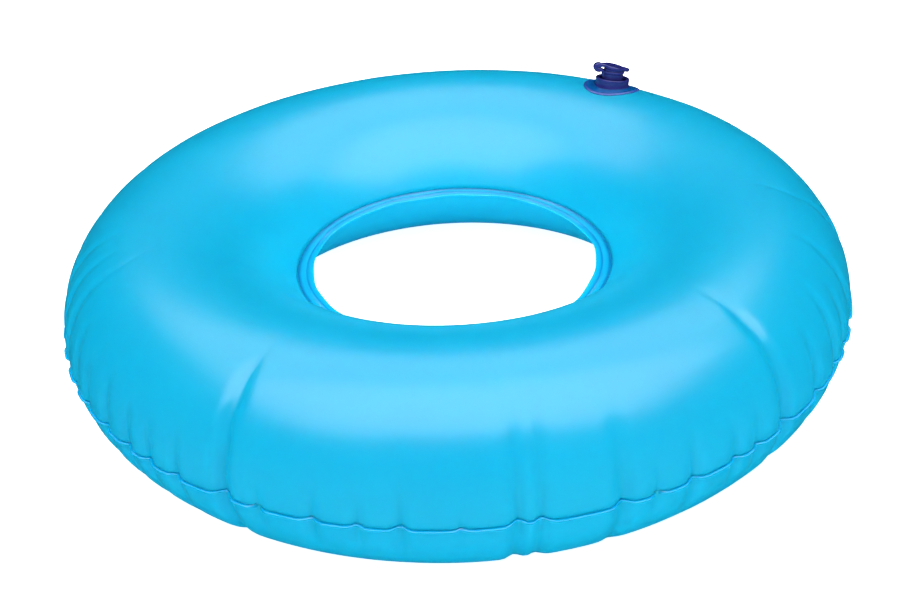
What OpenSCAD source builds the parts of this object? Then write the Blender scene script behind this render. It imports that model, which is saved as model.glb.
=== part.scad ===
// Inflatable vinyl ring cushion with a push-in inflation valve.
// Two ring-shaped films are welded together at the outer rim and around the hole.
// Millimetres, +Z up, the ring's axis on Z, resting on z = 0.

/* [Ring] */
// Radius of the outer weld line
seam_r = 200; // [150:1:230]
// Radius of the inner weld line, around the hole
hole_r = 82; // [60:1:100]
// How much higher the inner weld sits than the outer one
hole_lift = 6.8; // [0:0.2:10]
// Thickness of each film
film_t = 0.4; // [0.3:0.05:0.8]
// How deep the floor flattens the underside
rest_sag = 0.5; // [0.2:0.1:2]

/* [Welds] */
// Width of the outer weld flange
outer_weld_w = 3.5; // [2:0.5:8]
// Width of the fused band around the hole
inner_weld_w = 4.6; // [2:0.2:8]
// Width of the trim left inside that band
inner_trim_w = 3.4; // [1:0.2:6]

/* [Valve place] */
// Direction of the valve from the ring's axis, from +X
valve_az = 51; // [0:1:359]
// Angle of the film's section where the valve sits, below level
valve_dip = 7; // [0:1:20]
// Direction that the pull tab points, from +X
tab_az = 0; // [-180:1:180]

/* [Valve] */
// Radius of the welded flange
flange_r = 16.5; // [14:0.5:20]
// Thickness of the flange
flange_t = 0.9; // [0.6:0.1:1.5]
// Outer radius of the raised collar
collar_r = 9.9; // [9.5:0.1:12]
// Wall of the collar
collar_wall = 2; // [1.5:0.1:2.5]
// Height of the collar's rim over the film
collar_h = 5.2; // [4.5:0.1:5.4]
// Outer radius of the stem
stem_r = 5.9; // [5.6:0.1:6]
// Radius of the stem's throat
throat_r = 4.3; // [3.8:0.1:4.4]
// Height of the stem's rim over the film
stem_top = 9.4; // [9.2:0.1:11]
// How far the stem reaches into the air chamber
stem_drop = 9; // [7:0.5:14]
// How far the stem can be pushed in
push_travel = 3; // [2:0.1:3]
// Thickness of the check flap
flap_t = 0.6; // [0.4:0.1:1]

/* [Plug] */
// Distance of the strap's bend from the throat's axis
bend_x = 9.4; // [9.2:0.1:10]
// Height of the strap's bend over the stem's rim
bend_h = 1.2; // [1:0.1:1.4]
// Depth of the plug's spigot in the throat
spigot_depth = 5.4; // [4:0.1:5.8]
// Thickness of the plug's head
head_t = 1.8; // [1.4:0.1:2]
// Tilt of the plug's head, raised at the strap
head_tilt = 9; // [7:0.5:10]
// Width of the strap and of the pull tab
strap_w = 5; // [4:0.5:6]

/* [Hidden] */
$fn = 96;
film_colour = [0.0, 0.73, 0.92];
weld_colour = [0.0, 0.62, 0.88];
flange_colour = [0.0, 0.35, 0.69];
valve_colour = [0.16, 0.17, 0.45];
section_steps = 26;
outer_angle = -90;
radians = PI / 180;
running_gap = 0.05;
clear_gap = 0.3;

// ---- Section of the inflated film ----
// A film under pressure has a section whose angle to the level, a, follows
// sin(a) = sin(a0) - k (r^2 - hole_r^2) / 2, so r and z are known from a.

function bend_rate(a0) = 2 * (sin(a0) - sin(outer_angle)) / (seam_r ^ 2 - hole_r ^ 2);

function section_r(a0, a) = sqrt(hole_r ^ 2 + 2 * (sin(a0) - sin(a)) / bend_rate(a0));

function sum_of(values) = values * [for (v = values) 1];

function section_rise(a0, a, n = 48) =
    let (step = (a0 - a) / n)
    sum_of([for (i = [0 : n - 1])
        let (mid = a + (i + 0.5) * step)
        sin(mid) / (bend_rate(a0) * section_r(a0, mid))]) * step * radians;

// The angle at the hole is the one that brings the film back to the seam's level
function closing_angle(low, high, steps) =
    let (mid = (low + high) / 2)
    steps == 0 ? mid
    : section_rise(mid, outer_angle) > 0 ? closing_angle(low, mid, steps - 1)
    : closing_angle(mid, high, steps - 1);

hole_angle = closing_angle(20, 85, 30);

function lift_at(r) = hole_lift * (seam_r - r) / (seam_r - hole_r);

// Point of the upper (side = 1) or lower (side = -1) film, off its middle by `off`
function film_point(a, side, off) =
    let (r = section_r(hole_angle, a),
         z = side * section_rise(hole_angle, a) + lift_at(r),
         shift = a == hole_angle ? [-1 / sin(a), 0] : [-sin(a), side * cos(a)])
    [r, z] + off * shift;

film_angles = [for (i = [0 : section_steps])
    hole_angle + (outer_angle - hole_angle) * i / section_steps];

low_outer = [for (a = film_angles) film_point(a, -1, film_t / 2)];
low_inner = [for (a = film_angles) film_point(a, -1, -film_t / 2)];
rest_z = min([for (p = low_outer) p[1]]) + rest_sag;
seam_z = -rest_z;

function flattened(points, floor_z) = [for (p = points) [p[0], max(p[1], floor_z)]];

function reversed(points) = [for (i = [len(points) - 1 : -1 : 0]) points[i]];

// ---- Places ----
valve_r = section_r(hole_angle, -valve_dip) + film_t / 2 * sin(valve_dip);
valve_z = seam_z + film_point(-valve_dip, 1, film_t / 2)[1];
valve_lean = atan(tan(valve_dip) + hole_lift / (seam_r - hole_r));
bore_r = collar_r - collar_wall;
weld_tip = hole_r - film_t / 2 / sin(hole_angle);
trim_r = hole_r - inner_weld_w - inner_trim_w;
web_top = 2.1;
web_t = 0.8;
head_z = stem_top + 2;

module at_valve() {
    rotate([0, 0, valve_az])
        translate([valve_r, 0, valve_z])
            rotate([0, valve_lean, 0])
                rotate([0, 0, tab_az - valve_az])
                    children();
}

// A plate that follows the upper film's outer face near the valve, from `low` to `high` off it
module over_film(low, high) {
    angles = [for (a = film_angles) if (abs(a) < 50) a];
    bottom = [for (a = angles) film_point(a, 1, film_t / 2 + low)];
    top = [for (a = angles) film_point(a, 1, film_t / 2 + high)];
    translate([0, 0, seam_z])
        rotate_extrude()
            polygon(concat(top, reversed(bottom)));
}

// ---- Ring ----
module upper_sheet() {
    outside = [for (a = film_angles) film_point(a, 1, film_t / 2)];
    inside = [for (a = film_angles) film_point(a, 1, -film_t / 2)];
    color(film_colour)
        difference() {
            translate([0, 0, seam_z])
                rotate_extrude()
                    polygon(concat(outside, reversed(inside)));
            at_valve()
                cylinder(r = bore_r, h = 20, center = true);
        }
}

module lower_sheet() {
    outside = flattened(low_outer, rest_z);
    inside = flattened(low_inner, rest_z + film_t);
    color(film_colour)
        translate([0, 0, seam_z])
            rotate_extrude()
                polygon(concat(outside, reversed(inside)));
}

module outer_seam() {
    edge = seam_r + film_t / 2;
    color(weld_colour)
        translate([0, 0, seam_z])
            rotate_extrude()
                polygon([[edge, -film_t],
                         [edge + outer_weld_w, -film_t],
                         [edge + outer_weld_w, film_t],
                         [edge, film_t]]);
}

// Fused band with a raised line at each side, then the trim
module inner_seam() {
    notch = film_t / tan(hole_angle);
    band_t = film_t * 0.7;
    line_w = 0.8;
    band_in = trim_r + inner_trim_w;
    half = [[weld_tip, 0],
            [weld_tip + notch, film_t],
            [weld_tip - line_w, film_t],
            [weld_tip - line_w - 0.2, band_t],
            [band_in + line_w + 0.2, band_t],
            [band_in + line_w, film_t],
            [trim_r, film_t]];
    lower_half = [for (i = [len(half) - 1 : -1 : 1]) [half[i][0], -half[i][1]]];
    color(weld_colour)
        translate([0, 0, seam_z + hole_lift])
            rotate_extrude()
                polygon(concat(half, lower_half));
}

// ---- Valve ----
module valve_flange() {
    color(flange_colour)
        intersection() {
            over_film(0, flange_t);
            at_valve()
                difference() {
                    cylinder(r = flange_r, h = 24, center = true);
                    cylinder(r = bore_r, h = 26, center = true);
                }
        }
}

module valve_collar() {
    lip = 0.5;
    foot = 3;
    color(valve_colour)
        difference() {
            at_valve()
                rotate_extrude()
                    polygon([[bore_r, -foot],
                             [collar_r, -foot],
                             [collar_r, collar_h - lip],
                             [collar_r - lip, collar_h],
                             [bore_r + lip, collar_h],
                             [bore_r, collar_h - lip]]);
            over_film(-12, flange_t);
        }
}

// The thin wall that joins collar and stem; it rolls as the stem is pushed in
module valve_web() {
    color(valve_colour)
        at_valve()
            rotate_extrude()
                polygon([[stem_r + running_gap, web_top - web_t],
                         [bore_r, web_top - web_t],
                         [bore_r, web_top],
                         [stem_r + running_gap, web_top]]);
}

module stem_blank() {
    rim_r = stem_r + 0.6;
    rim_h = 1;
    rotate_extrude()
        polygon([[0, -stem_drop],
                 [stem_r, -stem_drop],
                 [stem_r, stem_top - rim_h - 0.6],
                 [rim_r, stem_top - rim_h],
                 [rim_r, stem_top],
                 [0, stem_top]]);
}

module valve_stem() {
    color(valve_colour)
        at_valve()
            difference() {
                stem_blank();
                cylinder(r = throat_r, h = 60, center = true);
            }
}

// Leaf that closes the stem's lower mouth and swings down into the chamber
module check_flap() {
    leaf_r = throat_r + 0.9;
    tongue_w = 3.6;
    color(valve_colour)
        at_valve()
            translate([0, 0, -stem_drop - running_gap - flap_t]) {
                cylinder(r = leaf_r, h = flap_t);
                translate([0, -tongue_w / 2, 0])
                    cube([stem_r, tongue_w, flap_t]);
                translate([stem_r, 0, flap_t / 2])
                    rotate([90, 0, 0])
                        cylinder(r = flap_t / 2, h = tongue_w, center = true);
            }
}

// Strap foot on the stem's side and the bend that the plug swings on
module tether_strap() {
    bend_z = stem_top + bend_h;
    bend_r = 1.6;
    foot_x = sqrt((bore_r - clear_gap) ^ 2 - (strap_w / 2) ^ 2);
    foot_low = web_top + push_travel + clear_gap;
    foot_high = collar_h + push_travel + clear_gap;
    color(valve_colour)
        at_valve()
            difference() {
                union() {
                    translate([-bend_x, 0, bend_z])
                        rotate([90, 0, 0])
                            cylinder(r = bend_r, h = strap_w, center = true);
                    rotate([90, 0, 0])
                        linear_extrude(height = strap_w, center = true)
                            polygon([[-bend_x - bend_r * 0.8, bend_z - bend_r * 0.6],
                                     [-bend_x + bend_r * 0.8, bend_z - bend_r * 0.6],
                                     [-stem_r, stem_top - 1],
                                     [-stem_r + 1, foot_low],
                                     [-foot_x, foot_low],
                                     [-foot_x, foot_high]]);
                }
                stem_blank();
            }
}

// Plug head: a round plate with a pull tab one way and the strap's end the other
module plug_head() {
    head_r = stem_r + 0.5;
    tab_reach = 9.4;
    arm_in = bend_x - 1.9;
    color(valve_colour)
        at_valve()
            translate([0, 0, head_z])
                rotate([0, head_tilt, 0]) {
                    cylinder(r = head_r, h = head_t, center = true);
                    translate([tab_reach - strap_w / 2, 0, 0])
                        cylinder(r = strap_w / 2, h = head_t, center = true);
                    translate([0, -strap_w / 2, -head_t / 2])
                        cube([tab_reach - strap_w / 2, strap_w, head_t]);
                    translate([-arm_in, -strap_w / 2, -head_t / 2 + 0.5])
                        cube([arm_in, strap_w, head_t - 0.5]);
                }
}

// Largest spigot radius at depth t that swings out of the throat about the strap's bend
function spigot_r(t) =
    sqrt((bend_x + throat_r) ^ 2 + bend_h ^ 2 - (bend_h + t) ^ 2) - bend_x - running_gap;

module plug_spigot() {
    depths = [for (i = [0 : 6]) spigot_depth * i / 6];
    side = [for (t = depths) [spigot_r(t), stem_top - t]];
    neck_r = spigot_r(0);
    neck_top = stem_top + 2.4;
    head_cut = 20;
    color(valve_colour)
        at_valve()
            difference() {
                rotate_extrude()
                    polygon(concat([[0, neck_top], [neck_r, neck_top]],
                                   side,
                                   [[0, stem_top - spigot_depth]]));
                translate([0, 0, head_z])
                    rotate([0, head_tilt, 0])
                        translate([-head_cut / 2, -head_cut / 2, -head_t / 2])
                            cube(head_cut);
            }
}

upper_sheet();
lower_sheet();
outer_seam();
inner_seam();
valve_flange();
valve_collar();
valve_web();
valve_stem();
check_flap();
tether_strap();
plug_head();
plug_spigot();
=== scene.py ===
"""An inflated ring cushion of translucent vinyl film with a push-in valve, built around its CAD frame."""
import math

import bpy
import numpy as np
from mathutils import Matrix, Vector


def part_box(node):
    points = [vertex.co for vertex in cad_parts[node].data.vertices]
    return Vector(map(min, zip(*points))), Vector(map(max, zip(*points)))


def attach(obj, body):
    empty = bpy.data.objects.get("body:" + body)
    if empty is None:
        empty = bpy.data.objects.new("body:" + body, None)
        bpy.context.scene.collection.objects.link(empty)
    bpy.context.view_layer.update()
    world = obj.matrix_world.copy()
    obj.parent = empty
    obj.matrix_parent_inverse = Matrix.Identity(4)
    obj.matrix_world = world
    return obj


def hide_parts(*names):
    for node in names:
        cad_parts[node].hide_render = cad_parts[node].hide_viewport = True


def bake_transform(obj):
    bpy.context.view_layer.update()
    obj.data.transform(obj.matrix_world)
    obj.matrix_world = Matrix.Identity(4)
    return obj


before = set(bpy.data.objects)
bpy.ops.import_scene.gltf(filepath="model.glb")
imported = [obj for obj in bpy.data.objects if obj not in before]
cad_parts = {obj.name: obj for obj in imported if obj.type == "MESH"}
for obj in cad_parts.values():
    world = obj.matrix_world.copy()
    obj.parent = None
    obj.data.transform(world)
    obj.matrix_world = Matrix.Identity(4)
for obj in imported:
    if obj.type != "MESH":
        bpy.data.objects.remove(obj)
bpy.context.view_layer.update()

MM = 0.001
TURN = 2 * math.pi

# ---------------------------------------------------------------- ring, as in the CAD
SEAM_R = 0.200
HOLE_R = 0.082
HOLE_LIFT = 0.0068
FILM_T = 0.0004
BAND_W = 0.008
OUTER_ANGLE = -math.pi / 2
SEAM_Z = sum(corner[2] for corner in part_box("outer_seam")) / 2

# ---------------------------------------------------------------- valve, as in the CAD, in mm
VALVE_AZ = math.radians(51)
VALVE_DIP = math.radians(7)
BORE_R = 7.9
COLLAR_R = 9.9
COLLAR_H = 5.2
FLANGE_R = 16.5
STEM_R = 5.9
STEM_TOP = 9.4
STEM_DROP = 9.0
THROAT_R = 4.3
BEND_X = 9.4
BEND_Z = 10.6
SPIGOT_DEPTH = 5.4
HEAD_Z = 11.4
HEAD_TILT = math.radians(9)
TAB_REACH = 9.4
STRAP_W = 5.0

# ---------------------------------------------------------------- film grid and simulation
AZIMUTHS = 600
RINGS = 34
RIM_CROWDING = 1.25
SIM_SCALE = 10.0
SIM_FRAMES = 24
SHARE_OF_EXTRA_FILM = 0.20
SEED_DEPTH = 0.003
CREASE_WIDTH = math.radians(0.8)
AIR_PRESSURE = 6
STRETCH_STIFFNESS = 80

# Creases that run up from the outer weld: azimuth in degrees, strength, reach in metres
CREASES = [
    (2, 1.0, .030), (9, 1.0, .040), (17, .8, .030), (23, 1.1, .050), (31, .8, .030), (38, 1.0, .040),
    (47, 1.2, .055), (53, .8, .030), (60, 1.0, .040), (68, 1.0, .030), (77, 1.2, .050), (83, .7, .030),
    (90, 1.0, .040), (99, 1.1, .040), (104, .7, .030), (113, 1.2, .055), (120, .8, .030),
    (127, 1.0, .040), (136, 1.1, .050), (142, .8, .030), (150, 1.0, .040), (159, 1.2, .050),
    (165, .8, .030), (172, 1.0, .040), (180, 1.0, .040), (188.5, 1.2, .065), (194.5, 1.2, .065),
    (200, 1.1, .065), (206, .9, .040), (211, .8, .030), (217, 1.0, .035), (222.5, .9, .030),
    (227, .9, .030), (232, .8, .030), (239.5, 2.0, .090), (244.5, .6, .020), (251.5, .8, .025),
    (257, .6, .025), (262, 1.0, .035), (269, .3, .018), (275.5, 1.5, .070), (278.2, 1.2, .065),
    (288, 1.5, .050), (292.5, .6, .020), (297.5, 1.0, .030), (304, .7, .025), (308, .6, .025),
    (313.8, 2.0, .085), (322, .9, .040), (329, 1.0, .050), (334, .9, .040), (340, 1.1, .060),
    (353.5, 1.3, .065)]
CREASE_AZ = np.radians([c[0] for c in CREASES])
CREASE_STRENGTH = np.array([c[1] for c in CREASES])
CREASE_REACH = np.array([c[2] for c in CREASES])


def smooth(x):
    """Rises from 0 to 1 with level ends."""
    x = np.clip(x, 0, 1)
    return x * x * (3 - 2 * x)


def turned(a, b):
    """The angle from b to a, between -pi and pi."""
    return (a - b + math.pi) % TURN - math.pi


# ---------------------------------------------------------------- section of the film
def bend_rate(start):
    """How fast an air-filled ring's section turns, for a film that is tight only along its section."""
    return 2 * (math.sin(start) - math.sin(OUTER_ANGLE)) / (SEAM_R ** 2 - HOLE_R ** 2)


def section(start, steps=4000):
    """Angle, radius, height over the weld's plane and length along the film, from the hole outwards."""
    angle = np.linspace(start, OUTER_ANGLE, steps + 1)
    radius = np.sqrt(HOLE_R ** 2 + 2 * (math.sin(start) - np.sin(angle)) / bend_rate(start))
    mid_angle = (angle[1:] + angle[:-1]) / 2
    mid_radius = (radius[1:] + radius[:-1]) / 2
    step = -np.diff(angle) / (bend_rate(start) * mid_radius)
    height = np.concatenate([[0], np.cumsum(np.sin(mid_angle) * step)])
    return angle, radius, height, np.concatenate([[0], np.cumsum(step)])


def hole_angle():
    """The angle at the hole that brings the film back to the seam's level."""
    low, high = math.radians(20), math.radians(85)
    for _ in range(30):
        mid = (low + high) / 2
        if section(mid)[2][-1] > 0:
            high = mid
        else:
            low = mid
    return (low + high) / 2


SEC_ANGLE, SEC_R, SEC_Z, SEC_S = section(hole_angle())
SEC_LENGTH = SEC_S[-1]


def lift_at(radius):
    """The hole's weld sits higher than the rim's, and the section leans in between."""
    return HOLE_LIFT * (SEAM_R - radius) / (SEAM_R - HOLE_R)


def film_z(radius, off=0.0):
    """Height of the upper film's middle at a radius, moved out by off along its normal."""
    angle = np.interp(radius, SEC_R, SEC_ANGLE)
    return SEAM_Z + np.interp(radius, SEC_R, SEC_Z) + lift_at(radius) + off / np.cos(angle)


# ---------------------------------------------------------------- cloth simulation of the two films
def ring_places():
    """Length from the hole of each ring, closer together towards the rim."""
    u = np.linspace(0, 1, RINGS + 1)
    return SEC_LENGTH * (1 - (1 - u) ** RIM_CROWDING)


def crease_ramp(places):
    """How much of each crease is there at each ring."""
    from_rim = SEC_LENGTH - places
    return np.array([smooth(1 - from_rim / reach) for reach in CREASE_REACH])


def crease_bumps(azimuth):
    """A bell curve round each crease, with its width in radians."""
    widths = CREASE_WIDTH * (0.8 + 0.3 * CREASE_STRENGTH)
    offsets = turned(azimuth[None, :], CREASE_AZ[:, None])
    return np.exp(-(offsets / widths[:, None]) ** 2), widths


def crease_lengths():
    """Extra film in each crease, in metres, which follows the share of the rim that it serves."""
    gap = (np.roll(CREASE_AZ, -1) - CREASE_AZ) % TURN
    share = (gap + np.roll(gap, 1)) / 2 * (0.6 + 0.4 * CREASE_STRENGTH)
    return SHARE_OF_EXTRA_FILM * TURN * SEAM_R * share / share.sum()


def polar(radius, angle, height):
    """Points from radius, angle and height, which are spread over each other's shapes."""
    radius, angle, height = np.broadcast_arrays(radius, angle, height)
    return np.stack([radius * np.cos(angle), radius * np.sin(angle), height], -1)


def flat_shape(places, azimuth):
    """The cut film: rings that are longer than the inflated ones by the film in the creases."""
    bumps, widths = crease_bumps(azimuth)
    density = crease_lengths() / (math.sqrt(math.pi) * widths * SEAM_R)
    extra = np.einsum("c,cj,ct->jt", density, crease_ramp(places), bumps)
    radius = np.interp(places, SEC_S, SEC_R)
    pitch = TURN / AZIMUTHS
    hoop = radius[:, None] * pitch * (1 + extra)
    turned_to = np.cumsum(hoop, 1)
    whole = turned_to[:, -1:]
    angle = (turned_to - hoop / 2) / whole * TURN
    drift = angle - azimuth - pitch / 2
    angle = azimuth + drift - drift.mean(1, keepdims=True)
    flat_r = whole[:, 0] / TURN
    rise = np.sqrt(np.maximum(np.diff(places) ** 2 - np.diff(flat_r) ** 2, 1e-12))
    return flat_r[:, None], angle, np.concatenate([[0], np.cumsum(rise)])[:, None]


def start_shape(places, azimuth, side):
    """The smooth inflated film, pressed in a little where a crease starts."""
    bumps, _ = crease_bumps(azimuth)
    depth = SEED_DEPTH * np.einsum("c,cj,ct->jt", np.sqrt(CREASE_STRENGTH), crease_ramp(places), bumps)
    angle = np.interp(places, SEC_S, SEC_ANGLE)[:, None]
    radius = np.interp(places, SEC_S, SEC_R)[:, None]
    height = np.interp(places, SEC_S, SEC_Z)[:, None]
    pressed_r = radius + np.sin(angle) * depth
    pressed_z = side * (height - np.cos(angle) * depth) + lift_at(radius)
    return polar(pressed_r, azimuth, pressed_z)


def film_grid():
    """Vertex numbers of both films, which share the welds at the hole and at the rim."""
    count = (RINGS + 1) * AZIMUTHS
    upper = np.arange(count).reshape(RINGS + 1, AZIMUTHS)
    lower = upper.copy()
    inner = (RINGS - 1) * AZIMUTHS
    lower[1:-1] = count + np.arange(inner).reshape(RINGS - 1, AZIMUTHS)
    return upper, lower


def ring_faces(grid, flipped=False):
    """Four-sided faces between the rows of a grid whose columns close round the ring."""
    a, b = grid[:-1], grid[1:]
    a2, b2 = np.roll(a, -1, 1), np.roll(b, -1, 1)
    corners = (a, a2, b2, b) if flipped else (a, b, b2, a2)
    return np.stack(corners, -1).reshape(-1, 4)


def new_object(name, points, faces):
    """A smooth-shaded mesh object in the scene."""
    mesh = bpy.data.meshes.new(name)
    faces = faces.tolist() if isinstance(faces, np.ndarray) else faces
    mesh.from_pydata(np.reshape(points, (-1, 3)).tolist(), [], faces)
    mesh.update()
    obj = bpy.data.objects.new(name, mesh)
    bpy.context.scene.collection.objects.link(obj)
    for polygon in mesh.polygons:
        polygon.use_smooth = True
    return obj


def set_cloth(obj, pinned, rest_key):
    """Thin film that hardly stretches, blown out by air, pinned at the hole and without gravity."""
    pins = obj.vertex_groups.new(name="pins")
    pins.add(pinned.tolist(), 1.0, "ADD")
    modifier = obj.modifiers.new("Cloth", "CLOTH")
    cloth = modifier.settings
    cloth.quality = 6
    cloth.mass = 0.3
    cloth.air_damping = 2.0
    cloth.tension_stiffness = STRETCH_STIFFNESS
    cloth.compression_stiffness = STRETCH_STIFFNESS
    cloth.shear_stiffness = STRETCH_STIFFNESS / 4
    cloth.bending_stiffness = 1
    cloth.tension_damping = 10
    cloth.compression_damping = 10
    cloth.shear_damping = 5
    cloth.bending_damping = 0.5
    cloth.bending_model = "ANGULAR"
    cloth.use_pressure = True
    cloth.uniform_pressure_force = AIR_PRESSURE
    cloth.use_pressure_volume = False
    cloth.vertex_group_mass = "pins"
    cloth.pin_stiffness = 1
    cloth.rest_shape_key = rest_key
    cloth.effector_weights.gravity = 0
    modifier.collision_settings.use_collision = False
    modifier.collision_settings.use_self_collision = False
    modifier.point_cache.frame_start = 1
    modifier.point_cache.frame_end = SIM_FRAMES


def simulated(start, flat, faces, pinned):
    """The points after the air has pushed the film out, at SIM_SCALE times the real size."""
    obj = new_object("sim", start * SIM_SCALE, faces)
    obj.shape_key_add(name="Basis")
    rest_key = obj.shape_key_add(name="cut")
    rest_key.data.foreach_set("co", (flat * SIM_SCALE).ravel().astype(np.float32))
    rest_key.value = 0
    set_cloth(obj, pinned, rest_key)
    scene = bpy.context.scene
    scene.frame_start = 1
    scene.frame_end = SIM_FRAMES
    for number in range(1, SIM_FRAMES + 1):
        scene.frame_set(number)
    graph = bpy.context.evaluated_depsgraph_get()
    mesh = bpy.data.meshes.new_from_object(obj.evaluated_get(graph))
    points = np.empty(len(mesh.vertices) * 3, np.float32)
    mesh.vertices.foreach_get("co", points)
    bpy.data.objects.remove(obj)
    bpy.data.meshes.remove(mesh)
    scene.frame_set(1)
    return points.reshape(-1, 3).astype(float) / SIM_SCALE


def inflated_films():
    """Both films as (ring, azimuth, xyz) arrays over the seam's plane."""
    places = ring_places()
    azimuth = np.arange(AZIMUTHS) * TURN / AZIMUTHS
    upper, lower = film_grid()
    start = np.zeros((upper.size + (RINGS - 1) * AZIMUTHS, 3))
    flat = np.zeros_like(start)
    flat_r, flat_angle, rise = flat_shape(places, azimuth)
    for grid, side in ((lower, -1), (upper, 1)):
        start[grid] = start_shape(places, azimuth, side)
        flat[grid] = polar(flat_r, flat_angle, side * rise)
    faces = np.concatenate([ring_faces(upper), ring_faces(lower, True)])
    points = simulated(start, flat, faces, upper[0])
    return points[upper], points[lower]


# ---------------------------------------------------------------- valve's place
def valve_matrix():
    """The valve's frame: on the film's outer face where the film dips away by VALVE_DIP."""
    radius = np.interp(-VALVE_DIP, SEC_ANGLE[::-1], SEC_R[::-1])
    outer_r = radius + FILM_T / 2 * math.sin(VALVE_DIP)
    height = (SEAM_Z + np.interp(radius, SEC_R, SEC_Z) + lift_at(radius)
              + FILM_T / 2 * math.cos(VALVE_DIP))
    lean = math.atan(math.tan(VALVE_DIP) + HOLE_LIFT / (SEAM_R - HOLE_R))
    return (Matrix.Rotation(VALVE_AZ, 4, "Z") @ Matrix.Translation((outer_r, 0, height))
            @ Matrix.Rotation(lean, 4, "Y") @ Matrix.Rotation(-VALVE_AZ, 4, "Z"))


VALVE = np.array(valve_matrix())


def from_valve(points):
    """World points in metres of points in the valve's own frame in mm."""
    return np.asarray(points, float) * MM @ VALVE[:3, :3].T + VALVE[:3, 3]


def to_valve(points):
    """Points in the valve's own frame in mm of world points in metres."""
    return (np.asarray(points, float) - VALVE[:3, 3]) @ VALVE[:3, :3] / MM


def over_film(across, along, off):
    """Height in the valve's frame, in mm, of a point that lies off mm above the upper film."""
    across, along = np.broadcast_arrays(np.asarray(across, float), np.asarray(along, float))
    height = np.zeros(across.shape)
    for _ in range(6):
        world = from_valve(np.stack([across, along, height], -1))
        radius = np.hypot(world[..., 0], world[..., 1])
        height = height + (film_z(radius, FILM_T / 2 + off * MM) - world[..., 2]) / MM
    return height


# ---------------------------------------------------------------- from simulated points to films
def refined(points, axis, closed):
    """Twice the rows along an axis, on a smooth curve through the given ones."""
    points = np.moveaxis(points, axis, 0)
    if closed:
        before, after, last = np.roll(points, 1, 0), np.roll(points, -1, 0), np.roll(points, -2, 0)
        between = (9 * (points + after) - before - last) / 16
        rows = np.stack([points, between], 1).reshape(-1, *points.shape[1:])
    else:
        ends = np.concatenate([2 * points[:1] - points[1:2], points, 2 * points[-1:] - points[-2:-1]])
        between = (9 * (ends[1:-2] + ends[2:-1]) - ends[:-3] - ends[3:]) / 16
        rows = np.stack([points[:-1], between], 1).reshape(-1, *points.shape[1:])
        rows = np.concatenate([rows, points[-1:]])
    return np.moveaxis(rows, 0, axis)


def levelled(film, rim_rise):
    """The film turned back so that its rim lies on the seam's plane, and moved to its real height."""
    radius = np.hypot(film[..., 0], film[..., 1])
    film = film.copy()
    film[..., 2] += SEAM_Z - rim_rise * (radius - HOLE_R) / (SEAM_R - HOLE_R)
    return film


def laid_on_floor(film, softness=0.0006):
    """Where the film would pass through the floor it lies on it, with a soft change."""
    film = film.copy()
    half = FILM_T / 2
    over = film[..., 2] - half
    film[..., 2] = half + (over + np.sqrt(over ** 2 + softness ** 2)) / 2
    return film


def faded_creases(film, full=0.045, gone=0.082):
    """Away from the rim the film turns into its own running mean, so the long creases end softly."""
    azimuth = np.arange(AZIMUTHS) * TURN / AZIMUTHS
    drift = turned(np.arctan2(film[..., 1], film[..., 0]), azimuth)
    places = np.stack([np.hypot(film[..., 0], film[..., 1]), drift, film[..., 2]], -1)
    calm = np.stack([blurred(ring, 41) for ring in places])
    share = smooth((SEC_LENGTH - ring_places() - full) / (gone - full))
    places += share[:, None, None] * (calm - places)
    return polar(places[..., 0], azimuth + places[..., 1], places[..., 2])


def held_by_valve(film, held=0.021, free=0.055):
    """Near the valve's flange the film keeps the smooth shape of the CAD."""
    local = to_valve(film)
    distance = np.hypot(local[..., 0], local[..., 1]) * MM
    share = 1 - smooth((distance - held) / (free - held))
    share = np.where(film[..., 2] > SEAM_Z, share, 0)
    radius = np.hypot(film[..., 0], film[..., 1])
    film = film.copy()
    film[..., 2] += share * (film_z(np.clip(radius, HOLE_R, SEAM_R * 0.98)) - film[..., 2])
    return film


def film_object(name, film, flipped, cut=False):
    """A film with its real thickness, with the valve's hole cut in it where cut is true."""
    rows, columns, _ = film.shape
    grid = np.arange(rows * columns).reshape(rows, columns)
    faces = ring_faces(grid, flipped)
    points = film.reshape(-1, 3)
    if cut:
        points, faces = cut_for_valve(points, faces)
    obj = new_object(name, points, faces)
    shell = obj.modifiers.new("Thickness", "SOLIDIFY")
    shell.thickness = FILM_T
    shell.offset = 0
    return obj


def cut_for_valve(points, faces, hole=BORE_R + 0.5):
    """Takes out the film inside the collar and draws the edge that is left onto a circle."""
    local = to_valve(points)
    distance = np.hypot(local[:, 0], local[:, 1])
    near = (distance < hole) & (points[:, 2] > SEAM_Z)
    gone = near[faces].any(1)
    edge = np.intersect1d(faces[gone].ravel(), faces[~gone].ravel())
    ring = local[edge, :2] * (hole / distance[edge])[:, None]
    height = over_film(ring[:, 0], ring[:, 1], 0) - FILM_T / 2 / MM
    points = points.copy()
    points[edge] = from_valve(np.column_stack([ring, height]))
    faces = faces[~gone]
    used, faces = np.unique(faces, return_inverse=True)
    return points[used], faces.reshape(-1, 4)


# ---------------------------------------------------------------- welds
def unit(vectors):
    """Vectors with length 1."""
    return vectors / np.maximum(np.linalg.norm(vectors, axis=-1, keepdims=True), 1e-12)


def blurred(values, width):
    """A running mean round the ring, run twice."""
    kernel = np.ones(width) / width
    for _ in range(2):
        around = np.concatenate([values[-width:], values, values[:width]])
        values = np.stack([np.convolve(around[:, k], kernel, "same") for k in range(values.shape[1])], -1)
        values = values[width:-width]
    return values


def tube_faces(rows, columns):
    """Faces of a closed section of so many rows swept once round the ring."""
    grid = np.arange(rows * columns).reshape(rows, columns)
    return ring_faces(np.concatenate([grid, grid[:1]]))


def strip_round_ring(name, places, outward, normal, section_points):
    """A closed section, given as (outward, up) in metres, swept along places."""
    rows = [places + a * outward + b * normal for a, b in section_points]
    return new_object(name, np.stack(rows), tube_faces(len(rows), len(places)))


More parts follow.
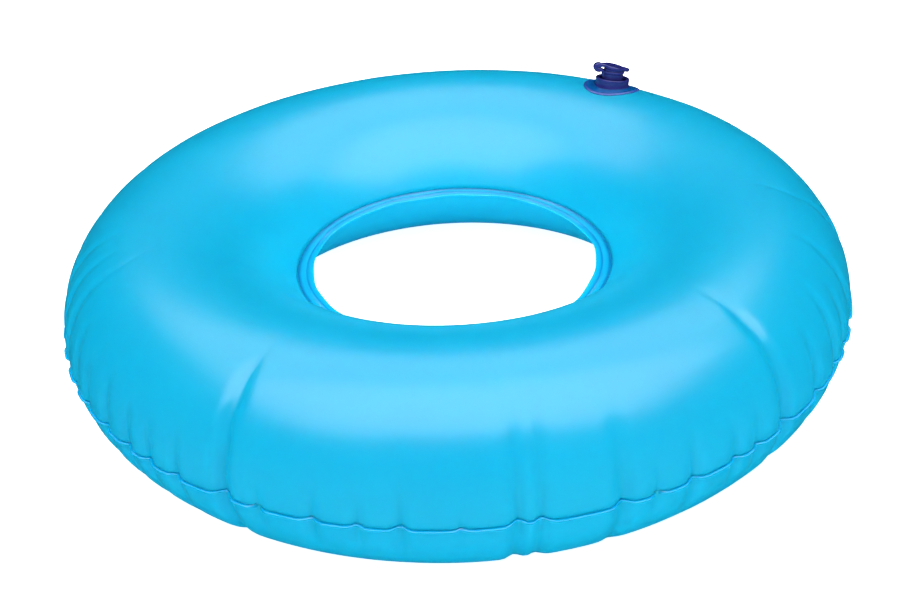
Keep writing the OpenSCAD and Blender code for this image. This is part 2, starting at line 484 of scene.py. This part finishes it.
def outer_weld(upper, lower, width=0.0015, thick=0.0006, grip=0.0012):
    """The narrow flange outside the rim's weld line, which waves with the creases. It reaches in
    over the films by grip."""
    rim = upper[-1]
    out = unit(2 * rim - upper[-3] - lower[-3])
    out = unit(blurred(out, 5))
    along = unit(np.roll(rim, -1, 0) - np.roll(rim, 1, 0))
    normal = unit(np.cross(out, along))
    normal *= np.sign(normal[:, 2:3])
    half = thick / 2
    upper_side = [(width, half * .5), (width * .85, half), (width * .5, half * .8), (-grip, half * .6)]
    profile = [(out_by, -up_by) for out_by, up_by in reversed(upper_side)] + upper_side
    return strip_round_ring("weld_outer", rim, out, normal, profile)


def inner_weld(steps=720):
    """The fused band round the hole, with a raised line on each side and a free trimmed edge."""
    azimuth = np.arange(steps) * TURN / steps
    places = polar(HOLE_R, azimuth, SEAM_Z + HOLE_LIFT)
    outward = polar(1, azimuth, 0)
    sway = 0.00025 * np.sin(7 * azimuth + 1) + 0.0002 * np.sin(17 * azimuth)
    wave = 0.0004 * np.sin(5 * azimuth + 2) + 0.00025 * np.sin(13 * azimuth)
    band = BAND_W / MM
    # Outward and up, in mm: the line over the weld, the line inside it and the trimmed edge
    upper_side = [
        (1.0, .22), (0.2, .45), (-0.4, .52), (-1.0, .44), (-1.5, .20), (-3.0, .20), (-3.6, .20),
        (-4.1, .44), (-4.6, .50), (-5.1, .42), (-5.6, .20), (-7.0, .20), (-7.7, .22), (-band, .10)]
    profile = upper_side + [(out_by, -up_by) for out_by, up_by in reversed(upper_side)]
    rows = []
    for out_by, up_by in profile:
        loose = smooth(-out_by / band)
        row = places + (out_by * MM + loose * sway)[:, None] * outward
        row[:, 2] += up_by * MM + loose * wave
        rows.append(row)
    return new_object("weld_inner", np.stack(rows), tube_faces(len(rows), len(azimuth)))


# ---------------------------------------------------------------- turned valve pieces
def rounded(corners, radius, steps=4):
    """A closed outline with each corner replaced by an arc-like curve. The radius is one number, or
    one for each corner."""
    corners = [np.array(c, float) for c in corners]
    radii = radius if hasattr(radius, "__len__") else [radius] * len(corners)
    out = []
    for k, corner in enumerate(corners):
        before, after = corners[k - 1] - corner, corners[(k + 1) % len(corners)] - corner
        reach = min(radii[k], 0.45 * np.linalg.norm(before), 0.45 * np.linalg.norm(after))
        start = corner + before / np.linalg.norm(before) * reach
        end = corner + after / np.linalg.norm(after) * reach
        for t in np.linspace(0, 1, steps + 1):
            out.append((1 - t) ** 2 * start + 2 * t * (1 - t) * corner + t ** 2 * end)
    return np.array(out)


def lathe(name, outline, on_film=None, steps=96):
    """A closed outline of (radius, height) turned round the valve's axis. Where on_film gives a
    share for a row, that row's height is measured from the film instead of from the flat."""
    angle = np.arange(steps) * TURN / steps
    rows = []
    for k, (radius, height) in enumerate(outline):
        across, along = radius * np.cos(angle), radius * np.sin(angle)
        share = 0 if on_film is None else on_film(height)
        level = height + (share * over_film(across, along, 0) if share else 0)
        rows.append(from_valve(np.stack([across, along, level + 0 * angle], -1)))
    return new_object(name, np.stack(rows), tube_faces(len(rows), steps))


def puck(name, outline, layers, place, steps=96):
    """A plate: outline gives a radius for an angle, layers are (scale or inset, height) from the
    middle of the top to the middle of the bottom, and place moves its points."""
    angle = np.arange(steps) * TURN / steps
    edge = np.array([outline(a) for a in angle])
    rows = []
    for inset, share, height in layers:
        radius = np.maximum(edge * share - inset, 0.02)
        rows.append(np.stack([radius * np.cos(angle), radius * np.sin(angle), height + 0 * angle], -1))
    points = np.concatenate(rows)
    grid = np.arange(len(points)).reshape(len(rows), steps)
    caps = [grid[0].tolist(), grid[-1].tolist()[::-1]]
    return new_object(name, from_valve(place(points)), ring_faces(grid, True).tolist() + caps)


def stadium(angle, reach, half_width):
    """Radius from the origin, at an angle from its axis, of a bar with a round end."""
    centre = reach - half_width
    side = abs(math.sin(angle))
    if math.cos(angle) <= 0:
        return 0.0
    if centre * side < half_width * math.cos(angle):
        return centre * math.cos(angle) + math.sqrt(max(half_width ** 2 - (centre * side) ** 2, 0))
    return half_width / side


def head_outline(angle, disc=6.4, strap_reach=7.6, sharpness=14):
    """Radius of the plug's plate: a disc with the pull tab on one side and the strap's end on the other."""
    bars = (stadium(angle, TAB_REACH, STRAP_W / 2), stadium(angle - math.pi, strap_reach, STRAP_W / 2))
    return sum(r ** sharpness for r in (disc,) + bars) ** (1 / sharpness)


def flap_outline(angle, sharpness=14):
    """Radius of the check flap: a disc with a tongue at its hinge."""
    return sum(r ** sharpness for r in (5.2, stadium(angle, 6.2, 1.8))) ** (1 / sharpness)


def plate_layers(thick, bevel=0.45, dish=0.0):
    """Rows of a rounded plate from the middle of its top to the middle of its bottom."""
    half = thick / 2
    return [(0, .02, half - dish), (0, .3, half - dish * .9), (0, .6, half - dish * .6),
            (bevel * 1.6, 1, half - dish * .15), (bevel * .7, 1, half), (bevel * .2, 1, half - bevel * .35),
            (0, 1, half - bevel), (0, 1, 0), (0, 1, -half + bevel), (bevel * .2, 1, -half + bevel * .35),
            (bevel * .7, 1, -half), (bevel * 1.6, 1, -half), (0, .6, -half), (0, .3, -half), (0, .02, -half)]


def on_head(points):
    """Points of the plug's head, tilted and lifted to its place."""
    cos, sin = math.cos(HEAD_TILT), math.sin(HEAD_TILT)
    x, y, z = points.T
    curl = 0.01 * np.maximum(x - 6, 0) ** 2
    return np.column_stack([x * cos + (z + curl) * sin, y, HEAD_Z - x * sin + (z + curl) * cos])


def lifted(height):
    """A move straight up by so many mm, for puck."""
    return lambda points: points + np.array([0, 0, height])


def curve_through(points, steps=8):
    """A Catmull-Rom curve through points."""
    points = np.array(points, float)
    points = np.concatenate([2 * points[:1] - points[1:2], points, 2 * points[-1:] - points[-2:-1]])
    out = []
    for p0, p1, p2, p3 in zip(points, points[1:], points[2:], points[3:]):
        for t in np.arange(steps) / steps:
            out.append(0.5 * (2 * p1 + (p2 - p0) * t + (2 * p0 - 5 * p1 + 4 * p2 - p3) * t ** 2
                              + (3 * p1 - p0 - 3 * p2 + p3) * t ** 3))
    return np.array(out + [points[-2]])


def hairpin_strap(thin=1.6, knuckle=2.6, bend_r=1.3, bend_rise=0.3):
    """The strap that joins stem and plug: up from the stem's side, round a thick bend and onto the head."""
    turns = np.radians([0, 45, 90, 135, 180])
    bend = [(-BEND_X - bend_r * math.sin(a), BEND_Z + bend_rise - bend_r * math.cos(a)) for a in turns]
    rise = [(-5.4, 5.2), (-5.8, 6.3), (-5.9, 7.7), (-6.3, 9.0), (-7.4, 9.5)]
    path = curve_through(rise + bend + [(-7.6, 12.25), (-5.4, 12.2)])
    along = unit(np.gradient(path, axis=0))
    normal = np.column_stack([-along[:, 1], along[:, 0]])
    share = smooth((-7.0 - path[:, 0]) / 1.6)
    grow = 1 + share * (knuckle / thin - 1)
    half_w, half_t = STRAP_W / 2, thin / 2
    outline = rounded([(-half_w, -half_t), (half_w, -half_t), (half_w, half_t), (-half_w, half_t)], 0.7)
    rows = []
    for across, out in outline:
        flat = path + (out * grow)[:, None] * normal
        rows.append(np.column_stack([flat[:, 0], np.full(len(flat), across), flat[:, 1]]))
    points = np.stack(rows, 1).reshape(-1, 3)
    grid = np.arange(len(points)).reshape(len(path), len(outline))
    faces = ring_faces(grid).tolist() + [grid[0].tolist(), grid[-1].tolist()[::-1]]
    return new_object("strap", from_valve(points), faces)


def spigot_r(depth):
    """Largest radius that swings out of the throat about the strap's bend."""
    over = BEND_Z - STEM_TOP
    return math.sqrt((BEND_X + THROAT_R) ** 2 + over ** 2 - (over + depth) ** 2) - BEND_X - 0.05


def valve_pieces():
    """Every part of the valve, from outlines of (radius, height) in mm."""
    flange = [(BORE_R, -.05), (FLANGE_R - .1, -.05), (FLANGE_R, .2), (FLANGE_R - .25, .5), (15.7, .78),
              (15.2, .86), (14.7, .74), (14.2, .58), (12.4, .58), (11.2, .72), (10.4, 1.0), (BORE_R, 1.1)]
    collar = [(BORE_R, .2), (10.5, .5), (10.15, 1.1), (COLLAR_R - .1, 2.0), (COLLAR_R - .1, 3.5),
              (COLLAR_R, COLLAR_H - 1.1), (COLLAR_R, COLLAR_H), (BORE_R, COLLAR_H)]
    collar_round = [.1, .3, .6, .6, .6, .5, 1.0, .8]
    stem = [(THROAT_R, -STEM_DROP), (STEM_R, -STEM_DROP), (STEM_R, STEM_TOP - 1.6),
            (STEM_R + .6, STEM_TOP - 1), (STEM_R + .6, STEM_TOP), (THROAT_R, STEM_TOP)]
    web = [(BORE_R + .05, 1.2), (BORE_R + .05, 2.0), (STEM_R - .05, 4.2), (STEM_R - .05, 3.4)]
    depths = np.linspace(0, SPIGOT_DEPTH, 7)
    shoulder = [(5.7, STEM_TOP + 1.3), (5.7, STEM_TOP + .08), (spigot_r(0), STEM_TOP + .08)]
    spigot = ([(.02, STEM_TOP + 1.5)] + shoulder
              + [(spigot_r(d), STEM_TOP - d) for d in depths[1:]] + [(.02, STEM_TOP - SPIGOT_DEPTH)])
    spigot_round = [.1, .2, .3] + [.2] * 6 + [.8, .1]
    return {
        "valve_flange_disc": lathe("valve_flange_disc", flange, lambda h: 1.0),
        "valve_collar_ring": lathe("valve_collar_ring", rounded(collar, collar_round),
                                   lambda h: 1 - smooth((h - .6) / 3)),
        "valve_rolling_wall": lathe("valve_rolling_wall", rounded(web, .35)),
        "valve_stem_tube": lathe("valve_stem_tube", rounded(stem, .4)),
        "strap": hairpin_strap(),
        "flap_leaf": puck("flap_leaf", flap_outline, plate_layers(.6, .15),
                          lifted(-STEM_DROP - .35)),
        "plug_plate": puck("plug_plate", head_outline, plate_layers(1.8, .6, .25), on_head),
        "plug_stopper": lathe("plug_stopper", rounded(spigot, spigot_round)),
    }


# ---------------------------------------------------------------- materials
# Colours by share of a distance: from the valve's axis to the flange's rim, and from the ring's axis
FLANGE_COLOURS = [
    (0.0, (0.005, 0.03, 0.16)), (0.66, (0.0, 0.07, 0.26)), (0.86, (0.0, 0.09, 0.30)),
    (0.93, (0.02, 0.06, 0.27)), (1.0, (0.035, 0.075, 0.30))]
BAND_REACH = 0.084
BAND_COLOURS = [
    (0.881, (0.0, 0.38, 0.60)), (0.895, (0.0, 0.32, 0.53)), (0.914, (0.0, 0.29, 0.50)),
    (0.919, (0.0, 0.16, 0.38)), (0.926, (0.0, 0.36, 0.57)), (0.955, (0.0, 0.31, 0.52)),
    (0.969, (0.0, 0.16, 0.38)), (0.980, (0.0, 0.31, 0.52))]


def new_material(name):
    """A material with one Principled shader."""
    material = bpy.data.materials.new(name)
    material.use_nodes = True
    tree = material.node_tree
    tree.nodes.clear()
    output = tree.nodes.new("ShaderNodeOutputMaterial")
    shader = tree.nodes.new("ShaderNodeBsdfPrincipled")
    tree.links.new(shader.outputs["BSDF"], output.inputs["Surface"])
    return material, tree, shader


def noise(tree, scale, detail=2.0):
    """Noise over the object's own coordinates."""
    place = tree.nodes.new("ShaderNodeTexCoord")
    node = tree.nodes.new("ShaderNodeTexNoise")
    node.inputs["Scale"].default_value = scale
    node.inputs["Detail"].default_value = detail
    tree.links.new(place.outputs["Object"], node.inputs["Vector"])
    return node.outputs["Fac"]


def mixed(tree, factor, low, high):
    """A colour that drifts from low to high with the factor."""
    ramp = tree.nodes.new("ShaderNodeValToRGB")
    ramp.color_ramp.elements[0].position = 0.1
    ramp.color_ramp.elements[1].position = 0.9
    ramp.color_ramp.elements[0].color = (*low, 1)
    ramp.color_ramp.elements[1].color = (*high, 1)
    tree.links.new(factor, ramp.inputs["Fac"])
    return ramp.outputs["Color"]


def spread(tree, factor, low, high):
    """A number that drifts from low to high with the factor."""
    node = tree.nodes.new("ShaderNodeMapRange")
    node.inputs["From Min"].default_value = 0.1
    node.inputs["From Max"].default_value = 0.9
    node.inputs["To Min"].default_value = low
    node.inputs["To Max"].default_value = high
    tree.links.new(factor, node.inputs["Value"])
    return node.outputs["Result"]


def bumped(tree, shader, factor, strength=0.12, depth=0.0002):
    """Fine relief on the shader's normal."""
    bump = tree.nodes.new("ShaderNodeBump")
    bump.inputs["Strength"].default_value = strength
    bump.inputs["Distance"].default_value = depth
    tree.links.new(factor, bump.inputs["Height"])
    tree.links.new(bump.outputs["Normal"], shader.inputs["Normal"])


def vinyl(name, low, high, rough, grain=900, colour_scale=14, glow=0.8, through=0.45):
    """Soft PVC: cloudy colour, fine grain, a roughness that drifts, and some light through it."""
    material, tree, shader = new_material(name)
    colour = mixed(tree, noise(tree, colour_scale, 3.0), low, high)
    tree.links.new(colour, shader.inputs["Base Color"])
    tree.links.new(spread(tree, noise(tree, 22), *rough), shader.inputs["Roughness"])
    bumped(tree, shader, noise(tree, grain))
    shader.inputs["Transmission Weight"].default_value = through
    shader.inputs["Subsurface Weight"].default_value = glow
    shader.inputs["Subsurface Radius"].default_value = (0.3, 0.8, 1.0)
    shader.inputs["Subsurface Scale"].default_value = 0.003
    shader.inputs["IOR"].default_value = 1.53
    return material


def coloured_by_distance(material, centre, reach, stops, drift):
    """Colour that changes with the distance from a point, given as (share of reach, colour)."""
    tree = material.node_tree
    place = tree.nodes.new("ShaderNodeTexCoord")
    away = tree.nodes.new("ShaderNodeVectorMath")
    away.operation = "DISTANCE"
    away.inputs[1].default_value = centre
    tree.links.new(place.outputs["Object"], away.inputs[0])
    cloud = spread(tree, noise(tree, 160, 3.0), -drift, drift)
    share = tree.nodes.new("ShaderNodeMath")
    share.operation = "MULTIPLY_ADD"
    share.inputs[1].default_value = 1 / reach
    tree.links.new(away.outputs["Value"], share.inputs[0])
    tree.links.new(cloud, share.inputs[2])
    ramp = tree.nodes.new("ShaderNodeValToRGB")
    elements = ramp.color_ramp.elements
    while len(elements) < len(stops):
        elements.new(0.5)
    for element, (position, colour) in zip(elements, stops):
        element.position = position
        element.color = (*colour, 1)
    tree.links.new(share.outputs["Value"], ramp.inputs["Fac"])
    shader = next(node for node in tree.nodes if node.type == "BSDF_PRINCIPLED")
    tree.links.new(ramp.outputs["Color"], shader.inputs["Base Color"])


def materials():
    """Every finish by name."""
    film = vinyl("film_vinyl", (0.0, 0.39, 0.68), (0.0, 0.44, 0.74), (0.275, 0.33))
    weld = vinyl("weld_vinyl", (0.0, 0.31, 0.60), (0.0, 0.37, 0.68), (0.14, 0.25), grain=1500,
                 colour_scale=40)
    flange = vinyl("flange_vinyl", (0.0, 0.07, 0.24), (0.0, 0.09, 0.29), (0.18, 0.27), through=0.25)
    coloured_by_distance(flange, VALVE[:3, 3], FLANGE_R * MM, FLANGE_COLOURS, 0.04)
    band = vinyl("band_vinyl", (0.0, 0.33, 0.56), (0.0, 0.38, 0.62), (0.16, 0.25), glow=0.7)
    coloured_by_distance(band, (0, 0, SEAM_Z + HOLE_LIFT), BAND_REACH, BAND_COLOURS, 0.002)
    valve = vinyl("valve_vinyl", (0.008, 0.01, 0.08), (0.02, 0.022, 0.14), (0.10, 0.20), grain=2500,
                  colour_scale=220, glow=0.15, through=0.0)
    return {"film": film, "weld": weld, "band": band, "valve_flange": flange, "valve": valve}


def finish_piece(obj, material):
    """Gives a piece its material, in its only slot."""
    obj.data.materials.clear()
    obj.data.materials.append(material)


def closed_outwards(obj):
    """Turns the faces of a closed piece outwards."""
    bpy.ops.object.select_all(action="DESELECT")
    bpy.context.view_layer.objects.active = obj
    obj.select_set(True)
    bpy.ops.object.mode_set(mode="EDIT")
    bpy.ops.mesh.select_all(action="SELECT")
    bpy.ops.mesh.normals_make_consistent(inside=False)
    bpy.ops.object.mode_set(mode="OBJECT")


# ---------------------------------------------------------------- camera, floor and light
CAMERA_RISE = math.radians(32.22)
CAMERA_ROLL = math.radians(-3.025)
CAMERA_DISTANCE = 0.6724
CAMERA_AIM = Vector((-0.00354, 0, SEAM_Z - 0.02298))

FLOOR_GLOW = 0.78
HOLE_LIGHT_POWER = 0.36
# Area lights: name, place, aim, (width, depth), watts, whether the vinyl mirrors them
AREA_LIGHTS = [
    ("overhead", (0.18, -0.45, 1.5), (0.18, -0.45, 0), (2.8, 1.45), 45, True),
    ("overhead_back", (0, 0.95, 1.5), (0, 0.95, 0), (2.8, 1.1), 21, True),
    ("front_fill", (0, -1.7, 0.32), (0, 0, 0.04), (3.6, 0.7), 24, False)]


def add_camera():
    """A 50 mm camera in front of the ring, raised and a little rolled."""
    back = Vector((0, -math.cos(CAMERA_RISE), math.sin(CAMERA_RISE)))
    up = Vector((0, math.sin(CAMERA_RISE), math.cos(CAMERA_RISE)))
    right = Vector((1, 0, 0))
    side = math.cos(CAMERA_ROLL) * right + math.sin(CAMERA_ROLL) * up
    top = -math.sin(CAMERA_ROLL) * right + math.cos(CAMERA_ROLL) * up
    data = bpy.data.cameras.new("camera")
    data.lens = 50
    data.sensor_width = 36
    camera = bpy.data.objects.new("camera", data)
    bpy.context.scene.collection.objects.link(camera)
    facing = Matrix((side, top, back)).transposed().to_4x4()
    camera.matrix_world = Matrix.Translation(CAMERA_AIM + back * CAMERA_DISTANCE) @ facing
    bpy.context.scene.camera = camera


def add_area_light(name, place, aim, size, power, mirrored):
    """A soft light that the camera doesn't see."""
    data = bpy.data.lights.new(name, "AREA")
    data.shape = "RECTANGLE"
    data.size, data.size_y = size
    light = bpy.data.objects.new(name, data)
    bpy.context.scene.collection.objects.link(light)
    data.energy = power
    light.location = place
    light.visible_glossy = mirrored
    light.visible_transmission = mirrored
    light.visible_camera = False
    light.rotation_euler = (Vector(aim) - Vector(place)).to_track_quat("-Z", "Y").to_euler()


def add_floor():
    """A pale floor with a glow of its own, like a light table, which the vinyl doesn't mirror."""
    corners = [(-6, -6, 0), (6, -6, 0), (6, 6, 0), (-6, 6, 0)]
    floor = new_object("floor", corners, [(0, 1, 2, 3)])
    material, tree, shader = new_material("floor_paper")
    colour = mixed(tree, noise(tree, 3), (0.86, 0.86, 0.86), (0.89, 0.89, 0.89))
    tree.links.new(colour, shader.inputs["Base Color"])
    shader.inputs["Roughness"].default_value = 0.9
    shader.inputs["Emission Color"].default_value = (0.97, 0.98, 1.0, 1)
    shader.inputs["Emission Strength"].default_value = FLOOR_GLOW
    floor.data.materials.append(material)
    floor.visible_glossy = False


def add_hole_light():
    """A small soft lamp that fills the hole."""
    data = bpy.data.lights.new("hole_fill", "POINT")
    data.energy = HOLE_LIGHT_POWER
    data.shadow_soft_size = 0.03
    lamp = bpy.data.objects.new("hole_fill", data)
    lamp.location = (0, 0, 0.06)
    lamp.visible_glossy = False
    lamp.visible_transmission = False
    lamp.visible_camera = False
    bpy.context.scene.collection.objects.link(lamp)


def add_studio():
    """Floor, lights and a pale world that the vinyl doesn't mirror."""
    add_floor()
    for light in AREA_LIGHTS:
        add_area_light(*light)
    add_hole_light()
    world = bpy.data.worlds.new("studio")
    world.use_nodes = True
    background = world.node_tree.nodes["Background"]
    background.inputs["Color"].default_value = (0.96, 0.98, 1.0, 1)
    background.inputs["Strength"].default_value = 0.8
    bpy.context.scene.world = world
    world.cycles_visibility.glossy = False
    bpy.context.scene.view_settings.view_transform = "Standard"
    bpy.context.scene.cycles.diffuse_bounces = 8


add_camera()
add_studio()
finishes = materials()

upper, lower = inflated_films()
rim_rise = upper[-1, :, 2].mean()
upper = held_by_valve(levelled(faded_creases(upper), rim_rise))
lower = laid_on_floor(levelled(faded_creases(lower), rim_rise))
upper, lower = refined(upper, 0, False), refined(lower, 0, False)

film_upper = film_object("film_upper", upper, False, cut=True)
film_lower = film_object("film_lower", lower, True)
weld_outer = outer_weld(refined(upper, 1, True), refined(lower, 1, True))
weld_inner = inner_weld()
pieces = valve_pieces()
for piece in [weld_outer, weld_inner, *pieces.values()]:
    closed_outwards(piece)

finish_piece(film_upper, finishes["film"])
finish_piece(film_lower, finishes["film"])
finish_piece(weld_outer, finishes["weld"])
finish_piece(weld_inner, finishes["band"])
for name, piece in pieces.items():
    slot = "valve_flange" if name == "valve_flange_disc" else "valve"
    finish_piece(piece, finishes[slot])

stands_for = {
    film_upper: ("cushion", "upper_sheet"),
    film_lower: ("cushion", "lower_sheet"),
    weld_outer: ("cushion", "outer_seam"),
    weld_inner: ("cushion", "inner_seam"),
    pieces["valve_flange_disc"]: ("cushion", "valve_flange"),
    pieces["valve_collar_ring"]: ("cushion", "valve_collar"),
    pieces["valve_stem_tube"]: ("stem", "valve_stem"),
    pieces["flap_leaf"]: ("flap", "check_flap"),
    pieces["plug_plate"]: ("plug", "plug_head"),
    pieces["plug_stopper"]: ("plug", "plug_spigot"),
}
for piece, (body, node) in stands_for.items():
    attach(piece, body)
    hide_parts(node)

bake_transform(pieces["strap"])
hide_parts("tether_strap")
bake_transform(pieces["valve_rolling_wall"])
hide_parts("valve_web")
